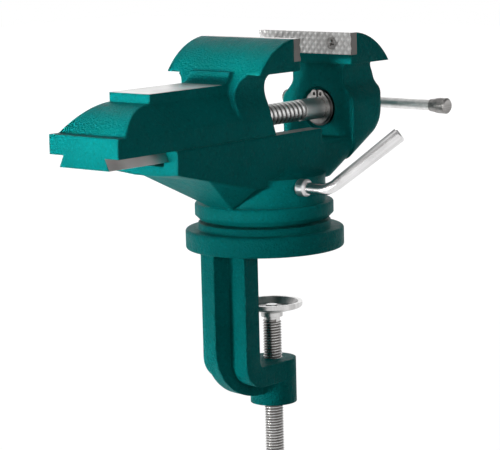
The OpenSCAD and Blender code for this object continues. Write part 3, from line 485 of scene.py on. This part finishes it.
def plate_screws(name, face_x, inward, mat, body):
    """Both countersunk screws of a jaw plate, with cross recesses."""
    points, faces = [], []
    for side, turn in SCREW_TURNS:
        def at(outline, depth):
            return [Vector((face_x + inward * depth, side * SCREW_Y + u, SCREW_Z + v)) * MM
                    for u, v in outline]

        rim = len(points)
        for radius, depth in SCREW_RINGS:
            points += at(circle(radius), depth)
        faces += wall(rim, SCREW_STEPS, len(SCREW_RINGS))
        mouth = len(points)
        for half_width, half_length, depth in CROSS_LEVELS:
            points += at(cross(half_width, half_length, turn), depth)
        faces += wall(mouth, CROSS_CORNERS, len(CROSS_LEVELS))
        index = list(range(rim, rim + SCREW_STEPS)) + list(range(mouth, mouth + CROSS_CORNERS))
        head = tessellate_polygon([points[rim:rim + SCREW_STEPS], points[mouth:mouth + CROSS_CORNERS]])
        faces += [tuple(index[i] for i in three) for three in head]
    piece = mesh_piece(name, points, faces, mat, body)
    whole = bmesh.new()
    whole.from_mesh(piece.data)
    bmesh.ops.recalc_face_normals(whole, faces=whole.faces)
    whole.to_mesh(piece.data)
    whole.free()
    return piece


def thread(name, place, length, pitch, root, crest, crest_share, mat, body):
    """A right-hand thread along the local Z of place, running out at both ends."""
    flank = (1 - crest_share - ROOT_SHARE) / 2
    profile = [(0, root), (ROOT_SHARE, root), (ROOT_SHARE + flank, crest),
               (ROOT_SHARE + flank + crest_share, crest), (1, root)]
    points, faces = [], []
    count = int(round((length / pitch - 1) * THREAD_STEPS))
    for k in range(count + 1):
        angle = 2 * math.pi * k / THREAD_STEPS
        base = k / THREAD_STEPS * pitch
        fade = min(1, k / THREAD_STEPS / THREAD_FADE, (count - k) / THREAD_STEPS / THREAD_FADE)
        for share, radius in profile:
            r = root + (radius - root) * fade
            local = Vector((r * math.cos(angle), r * math.sin(angle), base + share * pitch))
            points.append(place @ local)
    row = len(profile)
    for k in range(count):
        for j in range(row - 1):
            a = k * row + j
            faces.append((a, a + row, a + row + 1, a + 1))
    mesh_piece(name, points, faces, mat, body)


fixed_screws = plate_screws("fixed_cross_screws", FIXED_FACE_X, 1, zinc, "swivel")
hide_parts("fixed_plate_screws")
moving_screws = plate_screws("moving_cross_screws", MOVING_FACE_X, -1, zinc, "moving")
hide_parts("moving_plate_screws")
to_x = Matrix.Rotation(math.radians(90), 4, "Y")
thread("main_thread", Matrix.Translation((MAIN_START_X, 0, SPINDLE_Z)) @ to_x, MAIN_LENGTH, MAIN_PITCH,
       MAIN_ROOT, MAIN_CREST, MAIN_CREST_SHARE, main_steel, "main_screw")
swing = Matrix.Rotation(-CLAMP_SWING, 4, "Z")
thread("clamp_thread", swing @ Matrix.Translation((CLAMP_OFF, 0, CLAMP_START_Z)), CLAMP_LENGTH,
       CLAMP_PITCH, CLAMP_ROOT, CLAMP_CREST, CLAMP_CREST_SHARE, clamp_steel, "table_screw")


# The floor is below the lowest place that the clamp screw reaches
FLOOR_Z = cad_low.z - 28 * MM
FLOOR_SIZE = 8

# Light that falls on the part from all around, against 1 for the white that is seen
AMBIENT = 0.06
# The seen world is white up to the first height and dims to SKY_DIM at the second, for reflections
SKY_HEIGHTS = (0.12, 0.6)
SKY_DIM = 0.3
# The seen floor's glow at a near and a far distance, and its share. The rest is the lit floor,
# which keeps the part's shadow
FLOOR_DISTANCES = (0.3, 2.0)
FLOOR_GLOW = (1.31, 1.42)
FLOOR_SHARE = 0.75
FLOOR_GREY = (0.35, 0.35, 0.35, 1)

# Lamps: name, place, size, power, the point that they face, and spread in degrees
LAMPS = (
    ("key", (-0.75, 0.04, 0.06), (0.3, 0.05), 0.14, (-0.05, 0, 0.098), 18),
    ("left", (-0.6, 0.3, 0.06), (0.4, 0.4), 0.31, (0, 0, -0.02), 180),
    ("low", (-0.42, 0.2, -0.12), (0.12, 0.06), 0.04, (0, 0, -0.07), 30),
    ("front", (-0.4, -1.1, 0.25), (0.3, 0.3), 1.0, (0, 0, 0), 180),
    ("top", (-0.3, 0.3, 1.2), (0.7, 0.7), 1.6, (0, 0, 0.03), 180),
    ("back", (0.9, 0.8, 0.62), (0.9, 0.9), 2.5, (0, 0, 0.03), 180),
)
WHITE = (1, 1, 1, 1)


def add_world():
    """Dim light on the part from all around, and white for the camera and for reflections."""
    world = bpy.data.worlds.new("studio")
    bpy.context.scene.world = world
    world.use_nodes = True
    t = Tree(world.node_tree)
    lit = t.tree.nodes["Background"]
    t.feed(lit.inputs["Color"], WHITE)
    t.feed(lit.inputs["Strength"], AMBIENT)
    direction = t.add("ShaderNodeTexCoord").outputs["Generated"]
    height = t.add("ShaderNodeSeparateXYZ", {0: direction}).outputs["Z"]
    level = t.band(height, *SKY_HEIGHTS, 1, SKY_DIM, "SMOOTHSTEP")
    white = t.add("ShaderNodeBackground", {"Color": WHITE, "Strength": level})
    mix = t.add("ShaderNodeMixShader", {0: t.seen(), 1: lit.outputs[0], 2: white.outputs[0]})
    t.feed(t.tree.nodes["World Output"].inputs[0], mix.outputs[0])


def add_floor():
    """A floor that takes the part's shadow and shows white."""
    bpy.ops.mesh.primitive_plane_add(size=FLOOR_SIZE, location=(0, 0, FLOOR_Z))
    floor = bpy.context.object
    floor.name = "studio_floor"
    s = Shader("floor", Base_Color=FLOOR_GREY, Roughness=0.8)
    distance = s.add("ShaderNodeVectorMath", {0: s.place}, operation="LENGTH").outputs["Value"]
    glow = s.add("ShaderNodeEmission", {"Strength": s.band(distance, *FLOOR_DISTANCES, *FLOOR_GLOW)})
    share = s.math("MULTIPLY", s.seen(), FLOOR_SHARE)
    mix = s.add("ShaderNodeMixShader", {0: share, 1: s.bsdf.outputs[0], 2: glow.outputs[0]})
    s.feed(s.tree.nodes["Material Output"].inputs[0], mix.outputs[0])
    floor.data.materials.append(s.mat)


def add_lamp(name, place, size, power, target, spread):
    """A soft lamp that faces a point, with a grid where its spread is narrow."""
    data = bpy.data.lights.new(name, "AREA")
    data.shape = "RECTANGLE"
    data.size, data.size_y = size
    data.energy = power
    data.spread = math.radians(spread)
    lamp = bpy.data.objects.new(name, data)
    bpy.context.scene.collection.objects.link(lamp)
    lamp.location = place
    lamp.visible_camera = False
    aim = Vector(target) - Vector(place)
    lamp.rotation_euler = aim.to_track_quat("-Z", "Y").to_euler()


# The photo's camera, as fitted: its place, its own axes, and its focal length in pixels
CAMERA_AT = (-1.0307204, -0.8927962, 0.2264132)
CAMERA_RIGHT = Vector((0.6566717, -0.7537677, -0.0248299))
CAMERA_UP = Vector((0.1325432, 0.0829338, 0.9877015))
CAMERA_BACK = Vector((-0.7424383, -0.6518867, 0.154367))
FOCAL_PIXELS = 2200
PHOTO_WIDTH = 500
SENSOR_MM = 36


def add_camera():
    """The photo's camera."""
    data = bpy.data.cameras.new("camera")
    data.sensor_width = SENSOR_MM
    data.lens = SENSOR_MM * FOCAL_PIXELS / PHOTO_WIDTH
    data.clip_start = 0.01
    data.clip_end = 50
    camera = bpy.data.objects.new("camera", data)
    bpy.context.scene.collection.objects.link(camera)
    turn = Matrix((CAMERA_RIGHT, CAMERA_UP, CAMERA_BACK)).transposed()
    camera.matrix_world = Matrix.Translation(CAMERA_AT) @ turn.to_4x4()
    bpy.context.scene.camera = camera


add_world()
add_floor()
for lamp in LAMPS:
    add_lamp(*lamp)
add_camera()
bpy.context.scene.view_settings.view_transform = "Standard"
